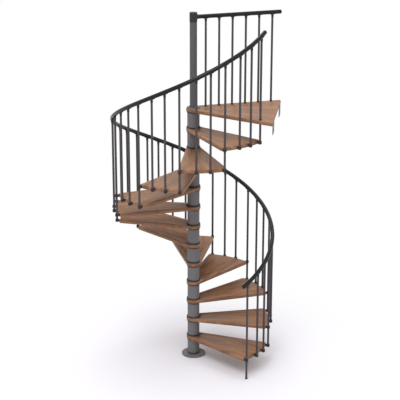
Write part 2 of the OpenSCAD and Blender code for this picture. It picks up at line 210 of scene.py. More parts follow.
class Signal:
    """A value that runs through a material. Operators on it add Math nodes."""

    def __init__(self, paint, socket):
        self.paint = paint
        self.socket = socket

    def math(self, operation, first, second):
        return self.paint.node("ShaderNodeMath", {"operation": operation}, {0: first, 1: second})

    def __add__(self, other):
        return self.math("ADD", self, other)

    def __radd__(self, other):
        return self.math("ADD", other, self)

    def __sub__(self, other):
        return self.math("SUBTRACT", self, other)

    def __rsub__(self, other):
        return self.math("SUBTRACT", other, self)

    def __mul__(self, other):
        return self.math("MULTIPLY", self, other)

    def __rmul__(self, other):
        return self.math("MULTIPLY", other, self)

    def __truediv__(self, other):
        return self.math("DIVIDE", self, other)

    def __rtruediv__(self, other):
        return self.math("DIVIDE", other, self)

    def floor(self):
        return self.math("FLOOR", self, 0.0)


class Paint:
    """Adds nodes to one node tree. Every node comes from the method node."""

    def __init__(self, tree):
        self.tree = tree
        tree.nodes.clear()

    def node(self, kind, settings=None, inputs=None, out=0):
        """Adds a node, sets its settings and colour stops, then its inputs, and gives back one output."""
        made = self.tree.nodes.new(kind)
        for name, value in (settings or {}).items():
            if name == "stops":
                self.set_stops(made.color_ramp, value)
            else:
                setattr(made, name, value)
        for key, value in (inputs or {}).items():
            if isinstance(value, Signal):
                self.tree.links.new(value.socket, made.inputs[key])
            else:
                made.inputs[key].default_value = value
        return Signal(self, made.outputs[out]) if made.outputs else None

    @staticmethod
    def set_stops(ramp, stops):
        """Sets a ramp's stops, which are pairs of a place and a brightness."""
        while len(ramp.elements) < len(stops):
            ramp.elements.new(1.0)
        for element, (place, value) in zip(ramp.elements, stops):
            element.position = place
            element.color = (value, value, value, 1.0)

    def place(self):
        """The place of a point on its object."""
        return self.node("ShaderNodeTexCoord", out="Object")

    def mix(self, factor, first, second):
        """A colour between two colours."""
        return self.node("ShaderNodeMix", {"data_type": "RGBA"}, {
            MIX_FACTOR: factor, MIX_FIRST: opaque(first), MIX_SECOND: opaque(second)}, out=MIX_RESULT)

    def noise(self, place, scale, detail=2.0, rough=0.5, distortion=0.0):
        """Noise between 0 and 1 at a place."""
        return self.node("ShaderNodeTexNoise", None, {
            "Vector": place, "Scale": scale, "Detail": detail, "Roughness": rough,
            "Distortion": distortion})

    def stretch(self, place, scale):
        """A place with its axes scaled one by one."""
        return self.node("ShaderNodeMapping", None, {"Vector": place, "Scale": scale})

    def seen(self):
        """1 for what the camera sees, straight, mirrored or through glass, and 0 for what lights a
        surface."""
        path = self.node("ShaderNodeLightPath").socket.node.outputs
        straight, mirrored, through = (Signal(self, path[name]) for name in SEEN_RAYS)
        return self.node("ShaderNodeClamp", None, {"Value": straight + mirrored + through})

    def bump(self, height, strength, distance):
        """A normal from a height."""
        return self.node("ShaderNodeBump", None, {
            "Height": height, "Strength": strength, "Distance": distance})


def opaque(colour):
    """A colour with full alpha, or a signal as it is."""
    return colour if isinstance(colour, Signal) else (*colour, 1.0)


def shaded(colour, brightness):
    """A colour made brighter or darker."""
    return [channel * brightness for channel in colour]


def new_paint(name):
    """A material and the paint for its node tree."""
    material = bpy.data.materials.new(name)
    material.use_nodes = True
    return material, Paint(material.node_tree)


def close_surface(paint, **inputs):
    """Ends a material in a Principled shader with the given inputs."""
    named = {key.replace("_", " "): value for key, value in inputs.items()}
    surface = paint.node("ShaderNodeBsdfPrincipled", None, named)
    paint.node("ShaderNodeOutputMaterial", None, {"Surface": surface})


# Wood: places are stretched along the board, across it and through it

STAVE_W = 0.062
BROAD_STRETCH = (1.6, 9.0, 9.0)
STREAK_STRETCH = (1.6, 46.0, 46.0)
PORE_STRETCH = (14.0, 420.0, 420.0)
PORE_STOPS = ((0.0, 1.0), (0.30, 1.0), (0.38, 0.0), (1.0, 0.0))
STREAK_TONE = 0.95
BROAD_TONE = 1.45
STAVE_TONE = 0.22
BEND_TONE = 0.16
TONE_DROP = 0.87
PORE_SHARE = 0.35
PORE_SHADE = 0.55
STREAK_RELIEF = 0.6
PORE_RELIEF = 0.8
STREAK_ROUGH = 0.08
PORE_ROUGH = 0.10
WOOD_ROUGH_DROP = 0.05


def lacquered_wood(finish):
    """Glued staves of oiled wood along each board: staves differ a little in tone, long streaks and
    short dark pores follow the grain, and a satin lacquer lies over them."""
    material, paint = new_paint("lacquered_wood")
    grain = paint.node("ShaderNodeAttribute", {"attribute_name": "grain"}, out="Vector")
    across = paint.node("ShaderNodeSeparateXYZ", None, {0: grain}, out="Y")
    stave = (across / STAVE_W).floor()
    stave_tone = paint.node("ShaderNodeTexWhiteNoise", {"noise_dimensions": "1D"}, {"W": stave})
    bend = paint.noise(grain, scale=2.2)
    broad = paint.noise(
        paint.stretch(grain, BROAD_STRETCH), scale=2.0, detail=3.0, rough=0.55, distortion=0.8)
    streaks = paint.noise(
        paint.stretch(grain, STREAK_STRETCH), scale=2.0, detail=5.0, rough=0.62, distortion=0.35)
    specks = paint.noise(paint.stretch(grain, PORE_STRETCH), scale=1.0)
    pores = paint.node("ShaderNodeValToRGB", {"stops": PORE_STOPS}, {0: specks})
    tone = streaks * STREAK_TONE + broad * BROAD_TONE + stave_tone * STAVE_TONE + bend * BEND_TONE
    factor = paint.node("ShaderNodeClamp", None, {"Value": tone - TONE_DROP})
    plain = paint.mix(factor, finish.wood_dark, finish.wood_light)
    height = streaks * STREAK_RELIEF - pores * PORE_RELIEF
    close_surface(
        paint, Base_Color=paint.mix(pores * PORE_SHARE, plain, shaded(finish.wood_dark, PORE_SHADE)),
        Roughness=finish.wood_rough - WOOD_ROUGH_DROP + streaks * STREAK_ROUGH + pores * PORE_ROUGH,
        Normal=paint.bump(height, strength=0.16, distance=0.0006), Specular_IOR_Level=0.22)
    return material


# Steel and plastic: tone and gloss drift slowly, and a fine texture lies over them

RUBBED_SHADE = 1.14
DULL_SHADE = 0.90
WORN_SHADE = 1.45
HANDLED_SHADE = 1.35
DRIFT_ROUGH = 0.10
FINE_ROUGH = 0.04
MOULD_ROUGH = 0.12
COATING_ROUGH_DROP = 0.06
PLASTIC_ROUGH_DROP = 0.05


def coated_steel(name, colour, rough):
    """A satin powder coating: a fine orange-peel surface, with tone and gloss that drift a little."""
    material, paint = new_paint(name)
    place = paint.place()
    drift = paint.noise(place, scale=3.5, detail=3.0, rough=0.55)
    peel = paint.noise(place, scale=520.0)
    close_surface(
        paint, Base_Color=paint.mix(drift, shaded(colour, DULL_SHADE), shaded(colour, RUBBED_SHADE)),
        Roughness=rough - COATING_ROUGH_DROP + drift * DRIFT_ROUGH + peel * FINE_ROUGH,
        Normal=paint.bump(peel, strength=0.10, distance=0.0004), Specular_IOR_Level=0.18)
    return material


def moulded_plastic(finish):
    """Matte black plastic with the fine texture of a spark-eroded mould."""
    material, paint = new_paint("moulded_black_plastic")
    place = paint.place()
    texture = paint.noise(place, scale=760.0, detail=3.0, rough=0.6)
    drift = paint.noise(place, scale=9.0)
    black = finish.fitting_black
    close_surface(
        paint, Base_Color=paint.mix(drift, black, shaded(black, WORN_SHADE)),
        Roughness=finish.fitting_rough - PLASTIC_ROUGH_DROP + texture * MOULD_ROUGH,
        Normal=paint.bump(texture, strength=0.14, distance=0.0004), Specular_IOR_Level=0.2)
    return material


def sleeved_rail(finish):
    """The rails' black plastic sleeve: half gloss, a little paler where hands have rubbed it."""
    material, paint = new_paint("black_rail_sleeve")
    place = paint.place()
    drift = paint.noise(place, scale=6.0, detail=3.0, rough=0.55)
    fine = paint.noise(place, scale=340.0)
    black = finish.rail_black
    close_surface(
        paint, Base_Color=paint.mix(drift, black, shaded(black, HANDLED_SHADE)),
        Roughness=finish.rail_rough - PLASTIC_ROUGH_DROP + drift * DRIFT_ROUGH + fine * FINE_ROUGH,
        Normal=paint.bump(fine, strength=0.05, distance=0.0003), Specular_IOR_Level=0.24)
    return material


def finish_named(name):
    """The material with this name, made from the finish properties when it is first asked for."""
    if name not in bpy.data.materials:
        finish = bpy.context.scene.staircase_finish
        coatings = {
            "column_coating": (finish.column_grey, finish.column_rough),
            "post_coating": (finish.post_grey, finish.column_rough),
            "baluster_coating": (finish.baluster_grey, finish.baluster_rough),
            "screw_steel": (finish.screw_grey, finish.screw_rough),
        }
        makers = {
            "lacquered_wood": lacquered_wood,
            "moulded_black_plastic": moulded_plastic,
            "black_rail_sleeve": sleeved_rail,
        }
        if name in coatings:
            coated_steel(name, *coatings[name])
        else:
            makers[name](finish)
    return bpy.data.materials[name]


def coat(names, material_name):
    """Gives CAD nodes a finish."""
    for name in names:
        slots = NODES[name].data.materials
        slots.clear()
        slots.append(finish_named(material_name))


# Mesh building


def grid_faces(rows, columns, wrap_rows, wrap_columns):
    """Quads between the neighbouring points of a grid, whose rows and columns may close on themselves."""
    row, column = np.meshgrid(
        np.arange(rows if wrap_rows else rows - 1),
        np.arange(columns if wrap_columns else columns - 1), indexing="ij")
    row_on = (row + 1) % rows
    column_on = (column + 1) % columns
    quads = [row * columns + column, row * columns + column_on, row_on * columns + column_on,
             row_on * columns + column]
    return np.stack(quads, axis=-1).reshape(-1, 4)


def fan_faces(ring_start, columns, pole, towards_pole):
    """Triangles that close a ring of points on a pole."""
    first = ring_start + np.arange(columns)
    second = ring_start + (np.arange(columns) + 1) % columns
    order = (first, second) if towards_pole else (second, first)
    return np.stack([*order, np.full(columns, pole)], axis=-1)


def closed_faces(rings, columns):
    """Faces of a grid of rings, which turn anticlockwise about the way they go, and of the two poles
    that follow them and close their ends."""
    count = rings * columns
    return [grid_faces(rings, columns, False, True), fan_faces(0, columns, count, False),
            fan_faces(count - columns, columns, count + 1, True)]


def repeat_faces(faces, vertex_count, times):
    """The faces of several copies of one shape, whose points follow each other."""
    shifts = (np.arange(times) * vertex_count)[:, None, None]
    return (faces[None] + shifts).reshape(-1, faces.shape[1])


def mesh_object(name, points, face_sets, material):
    """An object in the scene from points and arrays of faces, with one material."""
    mesh = bpy.data.meshes.new(name)
    mesh.from_pydata(points.tolist(), [], [face for faces in face_sets for face in faces.tolist()])
    mesh.polygons.foreach_set("use_smooth", np.ones(len(mesh.polygons), bool))
    mesh.materials.append(material)
    mesh.update()
    made = bpy.data.objects.new(name, mesh)
    bpy.context.scene.collection.objects.link(made)
    return made


def piece(name, points, face_sets, material_name, slot, replaced=(), grain=None):
    """Makes one piece, which rides on the stair and may stand for CAD nodes."""
    made = mesh_object(name, points, face_sets, finish_named(material_name))
    if grain is not None:
        attribute = made.data.attributes.new("grain", "FLOAT_VECTOR", "POINT")
        attribute.data.foreach_set("vector", grain.astype(np.float32).ravel())
    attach(made, BODY)
    if replaced:
        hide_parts(*replaced)


def on_circle(radius, angles):
    """Points of a circle about the axis, as rows of x and y."""
    return radius * np.stack([np.cos(angles), np.sin(angles)], axis=-1)


def round_angles(count):
    """Directions that share a full turn evenly."""
    return np.linspace(0.0, 4 * QUARTER, count, endpoint=False)


def arc(centre, radius, start, end, steps):
    """Points of an arc, both ends included."""
    return np.asarray(centre) + on_circle(radius, np.linspace(start, end, steps + 1))


def turned(points, angle):
    """Points turned about the axis by one angle."""
    cosine, sine = math.cos(angle), math.sin(angle)
    matrix = np.array([[cosine, sine], [-sine, cosine]])
    moved = points.copy()
    moved[..., :2] = points[..., :2] @ matrix
    return moved


# Places on the stair


def baluster_r(sizes):
    """Radius of the balusters' circle."""
    return sizes.tread_r + sizes.baluster_gap


def front_turns(sizes):
    """Directions of the treads' front balusters."""
    return sizes.first_angle + np.arange(TREAD_COUNT) * sizes.step_angle


def tread_tops(sizes):
    """Heights of the treads' tops."""
    return sizes.first_rise + np.arange(TREAD_COUNT) * sizes.riser


def last_turn(sizes):
    """Direction of the last long baluster, at the landing's front edge."""
    return sizes.first_angle + TREAD_COUNT * sizes.step_angle


def landing_top(sizes):
    """Height of the landing's top."""
    return sizes.first_rise + TREAD_COUNT * sizes.riser


# Boards

CORNER_STEPS = 8
OUTER_STEPS = 36
HUB_STEPS = 36
ROUND_STEPS = 5
EDGE_HOLD = 0.0008
AXIS = (0.0, 0.0)
GRAIN_STEP = np.array([1.37, 0.731, 0.419])


def tread_loop(sizes, start, end, inset):
    """Outline of a tread whose corners lie at two directions: edges tangent to the round hub, an outer
    arc, and rounded corners. The inset makes every radius smaller, so it moves the outline inwards."""
    lean = math.asin(sizes.hub_r / sizes.tread_r)
    front, back = start + lean, end - lean
    front_r, back_r = sizes.front_corner_r, sizes.back_corner_r
    front_mid = front - math.asin((sizes.hub_r - front_r) / (sizes.tread_r - front_r))
    back_mid = back + math.asin((sizes.hub_r - back_r) / (sizes.tread_r - back_r))
    front_centre = on_circle(sizes.tread_r - front_r, np.array(front_mid))
    back_centre = on_circle(sizes.tread_r - back_r, np.array(back_mid))
    return np.concatenate([
        arc(front_centre, front_r - inset, front - QUARTER, front_mid, CORNER_STEPS),
        arc(AXIS, sizes.tread_r - inset, front_mid, back_mid, OUTER_STEPS)[1:-1],
        arc(back_centre, back_r - inset, back_mid, back + QUARTER, CORNER_STEPS),
        arc(AXIS, sizes.hub_r - inset, back + QUARTER, front + 3 * QUARTER, HUB_STEPS)])


def landing_lines(sizes):
    """Direction of the landing's axis, which is square to its outer edge, and the angles from it to the
    landing's front and back edges. These run past the last long baluster and the guard's last one."""
    front_lean = math.asin((sizes.hub_r - sizes.landing_front_run) / baluster_r(sizes))
    guard_last = baluster_r(sizes) + sizes.guard_beyond
    back_lean = math.asin((sizes.hub_r - sizes.landing_back_run) / guard_last)
    front = last_turn(sizes) + front_lean
    back = last_turn(sizes) + sizes.guard_turn - back_lean
    axis = (front + back) / 2 + sizes.landing_skew
    return axis, front - axis, back - axis


def landing_loop(sizes, inset):
    """Outline of the landing about its axis: edges tangent to the hub and a straight outer edge."""
    front, back = landing_lines(sizes)[1:]
    corner_r = sizes.landing_corner_r
    corner_x = baluster_r(sizes) + sizes.landing_beyond - corner_r
    front_y = (corner_x * math.sin(front) - sizes.hub_r + corner_r) / math.cos(front)
    back_y = (corner_x * math.sin(back) + sizes.hub_r - corner_r) / math.cos(back)
    front_corner = arc((corner_x, front_y), corner_r - inset, front - QUARTER, 0.0, CORNER_STEPS)
    back_corner = arc((corner_x, back_y), corner_r - inset, 0.0, back + QUARTER, CORNER_STEPS)
    shares = np.linspace(0.0, 1.0, OUTER_STEPS + 1)[1:-1, None]
    outer_edge = front_corner[-1] + shares * (back_corner[0] - front_corner[-1])
    hub = arc(AXIS, sizes.hub_r - inset, back + QUARTER, front + 3 * QUARTER, HUB_STEPS)
    return np.concatenate([front_corner, outer_edge, back_corner, hub])


def board_points(sizes, loop_at, top):
    """Surface of a board as a grid: columns follow its outline, and rows go round its section, from the
    bore under the board, over quarter-round edges, to the bore on top."""
    low, radius = top - sizes.board_t, sizes.edge_r
    bend = np.linspace(0.0, QUARTER, ROUND_STEPS + 1)
    flat = radius + EDGE_HOLD
    insets = np.concatenate([[flat], radius * (1 - np.sin(bend)), radius * (1 - np.cos(bend)), [flat]])
    heights = np.concatenate([
        [low], low + radius * (1 - np.cos(bend)), top - radius * (1 - np.sin(bend)), [top]])
    loops = np.stack([loop_at(inset) for inset in insets])
    outward = loops[0] / np.linalg.norm(loops[0], axis=-1, keepdims=True)
    bore = outward * sizes.bore_r
    plan = np.concatenate([bore[None], loops, bore[None]])
    levels = np.concatenate([[low], heights, [top]])
    return np.concatenate([plan, np.broadcast_to(levels[:, None, None], (*plan.shape[:2], 1))], axis=-1)


def make_board(name, points, centre_turn, number):
    """One wooden board in place of its CAD node. Its grain gives each point's place in the wood: along
    the board, across it and up through it, from another part of the log for each board."""
    rows, columns = points.shape[:2]
    flat = points.reshape(-1, 3)
    grain = turned(flat, -centre_turn) + number * GRAIN_STEP
    faces = grid_faces(rows, columns, True, True)
    piece(f"board_{name}", flat, [faces], "lacquered_wood", "wood", (name,), grain)


# Handrail

RAIL_SIDES = 40
RAIL_STEP = math.radians(1.5)
NOSE_RINGS = 8
NOSE_SHARE = 0.5


def handrail_points(sizes):
    """Handrail: circles carried along a helix, square to its slope, with quarter-ellipse noses at both
    ends. Gives the circles as a grid and the two points that close the ends."""
    radius = sizes.rail_d / 2
    run_r = baluster_r(sizes)
    climb = sizes.riser / sizes.step_angle
    slope = math.atan2(climb, run_r)
    start = sizes.first_angle - sizes.rail_overrun
    end = last_turn(sizes) + sizes.rail_overrun
    middle = np.linspace(start, end, int((end - start) / RAIL_STEP) + 1)
    nose = np.linspace(0.0, QUARTER, NOSE_RINGS + 1)[1:-1]
    turns = np.concatenate([np.full(nose.shape, start), middle, np.full(nose.shape, end)])
    radii = radius * np.concatenate([np.sin(nose), np.ones(middle.shape), np.cos(nose)])
    reach = np.concatenate([-np.cos(nose), np.zeros(middle.shape), np.sin(nose)])
    ahead = radius * NOSE_SHARE * reach

    def axes(angle):
        """Outward and forward directions of the helix at angles, and its points there."""
        flat = np.zeros(angle.shape)
        out = np.stack([np.cos(angle), np.sin(angle), flat], axis=-1)
        along = np.stack([-np.sin(angle) * math.cos(slope), np.cos(angle) * math.cos(slope),
                          flat + math.sin(slope)], axis=-1)
        height = sizes.first_rise + sizes.rail_h + climb * (angle - sizes.first_angle)
        return out, along, run_r * out + np.stack([flat, flat, height], axis=-1)

    out, along, centre = axes(turns)
    up = np.cross(out, along)
    around = round_angles(RAIL_SIDES)[None, :, None]
    spokes = np.cos(around) * out[:, None] - np.sin(around) * up[:, None]
    rings = (centre + ahead[:, None] * along)[:, None] + radii[:, None, None] * spokes
    _, tip_along, tip_centre = axes(np.array([start, end]))
    tips = tip_centre + radius * NOSE_SHARE * np.array([[-1.0], [1.0]]) * tip_along
    return rings, tips


# Turned shapes

CLIP_SIDES = 28
WASHER_SIDES = 72
SCREW_SIDES = 20
CURVE_STEPS = 6
BEND = np.linspace(0.0, QUARTER, CURVE_STEPS + 1)


def turned_shape(profile, sides):
    """A profile of radius and height turned about the vertical axis, as a grid of points."""
    angles = round_angles(sides)
    radii, heights = profile[:, 0], profile[:, 1]
    return np.stack([radii[:, None] * np.cos(angles), radii[:, None] * np.sin(angles),
                     np.broadcast_to(heights[:, None], (len(radii), sides))], axis=-1)


def turned_ring(profile, sides):
    """Points and faces of a ring: a closed profile of radius and height, which runs up its outside and
    down its inside, turned about the vertical axis."""
    grid = turned_shape(profile, sides)
    return grid.reshape(-1, 3), [grid_faces(len(profile), sides, True, True)]


def turned_solid(profile, sides):
    """Points and faces of a solid: a profile of radius and height, which runs from underneath over the
    outside to the top, turned about the vertical axis and closed by a pole at both ends."""
    grid = turned_shape(profile, sides)
    poles = np.array([[0.0, 0.0, profile[0, 1]], [0.0, 0.0, profile[-1, 1]]])
    return np.concatenate([grid.reshape(-1, 3), poles]), closed_faces(len(profile), sides)


def joined(parts):
    """One set of points and faces from several, which are pairs of points and arrays of faces."""
    starts = np.cumsum([0] + [len(points) for points, _ in parts])
    face_sets = [faces + start for start, (_, sets) in zip(starts, parts) for faces in sets]
    return np.concatenate([points for points, _ in parts]), face_sets


def copies(shape, turns, heights, radius):
    """Copies of a shape at directions and heights on a circle about the axis."""
    points, face_sets = shape
    cosine, sine = np.cos(turns)[:, None], np.sin(turns)[:, None]
    out = points[None, :, 0] + radius
    side = np.broadcast_to(points[None, :, 1], out.shape)
    rise = points[None, :, 2] + heights[:, None]
    moved = np.stack([out * cosine - side * sine, out * sine + side * cosine, rise], axis=-1)
    return moved.reshape(-1, 3), [repeat_faces(faces, len(points), len(turns)) for faces in face_sets]


# Clips

FIT = 0.0002
NECK_SIDES = 32
NECK_POWER = 5.0
NECK_FOOT = 1.06
NECK_WAIST = 0.86
NECK_END = 0.92
NECK_END_IN = 0.004
FLANGE_GROW = 1.22
FLANGE_T = 0.003


def clip_outside(sizes):
    """Outside of a clip from its lower end to its upper one, as radius and height: a straight wall
    between two quarter ellipses."""
    inner = sizes.clip_end_d / 2
    radii = inner + (sizes.clip_d / 2 - inner) * np.sin(BEND)
    rise = sizes.clip_ease * (1 - np.cos(BEND))
    top = -sizes.clip_drop
    low_half = np.stack([radii, top - sizes.clip_h + rise], axis=-1)
    high_half = np.stack([radii, top - rise], axis=-1)[::-1]
    return np.concatenate([low_half, high_half])


def through_clip(sizes):
    """Points and faces of a clip that a baluster runs through: a closed ring of profile."""
    bore_r = sizes.baluster_d / 2 + FIT
    outside = clip_outside(sizes)
    inside = [[bore_r, outside[-1, 1]], [bore_r, outside[0, 1]]]
    return turned_ring(np.concatenate([outside, inside]), CLIP_SIDES)


def closed_clip(sizes):
    """Points and faces of a clip that holds a baluster's end: the profile runs from the middle of its
    underside over the outside and down the bore to the middle of the seat."""
    bore_r = sizes.baluster_d / 2 + FIT
    outside = clip_outside(sizes)
    inside = [[bore_r, outside[-1, 1]], [bore_r, -sizes.clip_seat]]
    return turned_solid(np.concatenate([outside, inside]), CLIP_SIDES)


def squared(wave):
    """A cosine or sine raised to a power below 1, which makes a circle a rounded square."""
    return np.sign(wave) * np.abs(wave) ** (2 / NECK_POWER)


def clip_neck(sizes):
    """The neck from a tread to its clip: a rounded rectangle, which is a superellipse, carried outwards
    from a flange on the tread's edge over a slight waist into the clip, with a pole at each end."""
    edge = -sizes.baluster_gap + FIT
    wall = -sizes.clip_d / 3
    face = edge + FLANGE_T
    places = np.array([edge, face, face, edge + 2 * FLANGE_T, (edge + wall) / 2, wall, -NECK_END_IN])
    widths = np.array([FLANGE_GROW, FLANGE_GROW, NECK_FOOT, 1.0, NECK_WAIST, 1.0, NECK_END])
    angles = round_angles(NECK_SIDES)
    side = squared(np.cos(angles)) * sizes.neck_w / 2
    rise = squared(np.sin(angles)) * sizes.neck_h / 2
    middle = -sizes.board_t / 2
    rings = np.stack([np.broadcast_to(places[:, None], (len(places), NECK_SIDES)),
                      widths[:, None] * side, middle + widths[:, None] * rise], axis=-1)
    poles = np.array([[places[0], 0.0, middle], [places[-1], 0.0, middle]])
    return np.concatenate([rings.reshape(-1, 3), poles]), closed_faces(len(places), NECK_SIDES)


def clip_piece(name, shape, sizes, turns, heights):
    """All clips of one kind, each with its neck, in place of their CAD node."""
    radius = baluster_r(sizes)
    parts = [copies(part, turns, heights, radius) for part in (shape, clip_neck(sizes))]
    piece(f"{name}_moulded", *joined(parts), "moulded_black_plastic", "black_plastic", (name,))


# Washers and screws

RIM_SHARE = 0.62
SOCKET_SHARE = 0.5
SUNK_SHARE = 0.35
SET_SCREW_RISE = 0.0009
WOOD_SCREW_RISE = 0.0022
CAP_SCREW_H = 0.018
ANCHOR_COUNT = 4
ANCHOR_CAP_RISE = 0.006

# Each collar's piece, CAD node, finish and slot
COLLARS = (
    ("landing_collar", "landing_disc", "column_coating", "grey_steel"),
    ("foot_collar", "base_collar", "baluster_coating", "black_plastic"),
)


def washer(inner_r, outer_r, low, high, edge):
    """A flat ring whose outer edges are quarter circles."""
    core = outer_r - edge
    low_edge = np.stack([core + edge * np.sin(BEND), low + edge * (1 - np.cos(BEND))], axis=-1)
    high_edge = np.stack([core + edge * np.cos(BEND), high - edge * (1 - np.sin(BEND))], axis=-1)
    inside = [[inner_r, high], [inner_r, low]]
    return turned_ring(np.concatenate([low_edge, high_edge, inside]), WASHER_SIDES)


def dome(radius, rise):
    """A low cap: a quarter ellipse turned about its axis."""
    bend = BEND[:-1]
    return turned_solid(np.stack([radius * np.cos(bend), rise * np.sin(bend)], axis=-1), SCREW_SIDES)


def screw_head(radius, rise):
    """A round screw head on the ground plane: a quarter ellipse up to a flat rim, and a socket sunk into
    it."""
    rim = radius * RIM_SHARE
    socket_r = radius * SOCKET_SHARE
    curve = np.stack([rim + (radius - rim) * np.cos(BEND), rise * np.sin(BEND)], axis=-1)
    socket = [[socket_r, rise], [socket_r, rise * SUNK_SHARE]]
    return turned_solid(np.concatenate([[[radius, -rise]], curve, socket]), SCREW_SIDES)


def tipped(shape, axis_to):
    """A shape turned so that its axis points outwards or down in place of up."""
    points, face_sets = shape
    x, y, z = points.T
    moved = {"out": (z, y, -x), "down": (x, -y, -z)}[axis_to]
    return np.stack(moved, axis=-1), face_sets


def set_screws(sizes):
    """Set screws in the outer sides of all clips, and one in the post's cap, opposite its rail."""
    between = np.array([0.0, sizes.first_between, sizes.second_between, sizes.step_angle])
    turns = (front_turns(sizes)[:, None] + between).ravel()
    heights = np.repeat(tread_tops(sizes), len(between)) - sizes.clip_drop - sizes.clip_h / 2
    screw = tipped(screw_head(sizes.set_screw_r, SET_SCREW_RISE), "out")
    cap_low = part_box("post_cap")[0]
    cap_turn = np.array([last_turn(sizes) + sizes.guard_turn + math.pi])
    in_cap = copies(screw, cap_turn, np.array([cap_low.z + CAP_SCREW_H]), -cap_low.x)
    return joined([copies(screw, turns, heights, baluster_r(sizes) + sizes.clip_d / 2), in_cap])


def landing_screws(sizes):
    """One screw on top of the landing, beside the last long baluster, and two under each bracket."""
    head = screw_head(sizes.wood_screw_r, WOOD_SCREW_RISE)
    top = landing_top(sizes)
    on_top = copies(head, np.array([sizes.landing_screw_turn]), np.array([top]), sizes.landing_screw_out)
    sides = np.array([-1.0, 1.0])
    along = (sides[:, None] * sizes.bracket_offset + sides * sizes.bracket_screw_pitch / 2).ravel()
    reach = baluster_r(sizes) + sizes.landing_beyond - sizes.bracket_leg / 2
    under = top - sizes.board_t - sizes.bracket_t
    places = np.stack(np.broadcast_arrays(reach, along, under), axis=-1)
    points, face_sets = tipped(head, "down")
    hung = turned((points + places[:, None]).reshape(-1, 3), landing_lines(sizes)[0])
    hung_sets = [repeat_faces(faces, len(points), len(along)) for faces in face_sets]
    return joined([on_top, (hung, hung_sets)])


def anchor_caps(sizes):
    """Low caps over the anchor holes of the floor plate."""
    turns = QUARTER / 2 + round_angles(ANCHOR_COUNT)
    plate_top = np.full(turns.shape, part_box("base_plate")[1].z)
    return copies(dome(sizes.anchor_cap_r, ANCHOR_CAP_RISE), turns, plate_top, sizes.anchor_r)


# Operators


def sizes_now():
    """The sizes as they are set."""
    return bpy.context.scene.staircase_sizes


class STAIRCASE_OT_treads(bpy.types.Operator):
    """Makes the wooden treads"""

    bl_idname = "staircase.treads"
    bl_label = "Treads"

    def execute(self, context):
        sizes = sizes_now()
        front_lead = math.asin(sizes.front_run / sizes.tread_r)
        back_lead = math.asin(sizes.back_run / sizes.tread_r)
        for number, name in enumerate(TREAD_NAMES):
            front = sizes.first_angle + number * sizes.step_angle
            start, end = front - front_lead, front + sizes.step_angle + back_lead
            top = sizes.first_rise + number * sizes.riser
            points = board_points(sizes, lambda inset: tread_loop(sizes, start, end, inset), top)
            make_board(name, points, (start + end) / 2, number)
        return {"FINISHED"}


class STAIRCASE_OT_landing(bpy.types.Operator):
    """Makes the wooden landing"""

    bl_idname = "staircase.landing"
    bl_label = "Landing"

    def execute(self, context):
        sizes = sizes_now()
        centre_turn = landing_lines(sizes)[0]
        points = board_points(sizes, lambda inset: landing_loop(sizes, inset), landing_top(sizes))
        make_board("landing", turned(points, centre_turn), centre_turn, TREAD_COUNT)
        return {"FINISHED"}


class STAIRCASE_OT_handrail(bpy.types.Operator):
    """Makes the smooth helical handrail"""

    bl_idname = "staircase.handrail"
    bl_label = "Handrail"

    def execute(self, context):
        rings, tips = handrail_points(sizes_now())
        points = np.concatenate([rings.reshape(-1, 3), tips])
        faces = closed_faces(len(rings), RAIL_SIDES)
        piece("handrail_sleeve", points, faces, "black_rail_sleeve", "black_rail", ("handrail",))
        coat(["landing_rail"], "black_rail_sleeve")
        return {"FINISHED"}


class STAIRCASE_OT_clips(bpy.types.Operator):
    """Makes the clips that hold the balusters to the treads"""

    bl_idname = "staircase.clips"
    bl_label = "Clips"

    def execute(self, context):
        sizes = sizes_now()
        fronts, tops = front_turns(sizes), tread_tops(sizes)
        clip_piece("front_clips", through_clip(sizes), sizes, fronts, tops)
        between = np.array([sizes.first_between, sizes.second_between, sizes.step_angle])
        turns = (fronts[:, None] + between).ravel()
        clip_piece("end_clips", closed_clip(sizes), sizes, turns, np.repeat(tops, len(between)))
        return {"FINISHED"}


class STAIRCASE_OT_washers(bpy.types.Operator):
    """Makes the round-edged washers at the hubs and the collars of the column"""

    bl_idname = "staircase.washers"
    bl_label = "Washers"

    def execute(self, context):
        sizes = sizes_now()
        edge, bore_r, low = sizes.washer_edge, sizes.bore_r, -sizes.board_t
        under = washer(bore_r, sizes.ring_d / 2, low - sizes.ring_t, low, edge)
        above = washer(bore_r, sizes.top_ring_d / 2, 0.0, sizes.top_ring_t, edge)
        tops = tread_tops(sizes)
        levels = np.append(tops, landing_top(sizes))
        rings = joined([copies(under, np.zeros(levels.shape), levels, 0.0),
                        copies(above, np.zeros(tops.shape), tops, 0.0)])
        piece("hub_washers", *rings, "moulded_black_plastic", "black_plastic", ("hub_rings",))
        for name, node, material_name, slot in COLLARS:
            corner_low, corner_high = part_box(node)
            collar = washer(bore_r, corner_high.x, corner_low.z, corner_high.z, edge)
            piece(name, *collar, material_name, slot, (node,))
        return {"FINISHED"}


class STAIRCASE_OT_fixings(bpy.types.Operator):
    """Makes the set screws, the landing's screws and the caps over the floor anchors"""

    bl_idname = "staircase.fixings"
    bl_label = "Fixings"

    def execute(self, context):
        sizes = sizes_now()
        piece("set_screws", *set_screws(sizes), "screw_steel", "dark_steel")
        piece("landing_screws", *landing_screws(sizes), "screw_steel", "dark_steel")
        piece("anchor_caps", *anchor_caps(sizes), "column_coating", "grey_steel")
        return {"FINISHED"}


class STAIRCASE_OT_metalwork(bpy.types.Operator):
    """Coats the column, the balusters and the brackets"""

    bl_idname = "staircase.metalwork"
    bl_label = "Metalwork"

    def execute(self, context):
        coat(["base_plate", "column_sleeves", "landing_brackets"], "column_coating")
        coat(["central_tube"], "post_coating")
        coat([*BALUSTER_NAMES, "landing_balusters"], "baluster_coating")
        return {"FINISHED"}


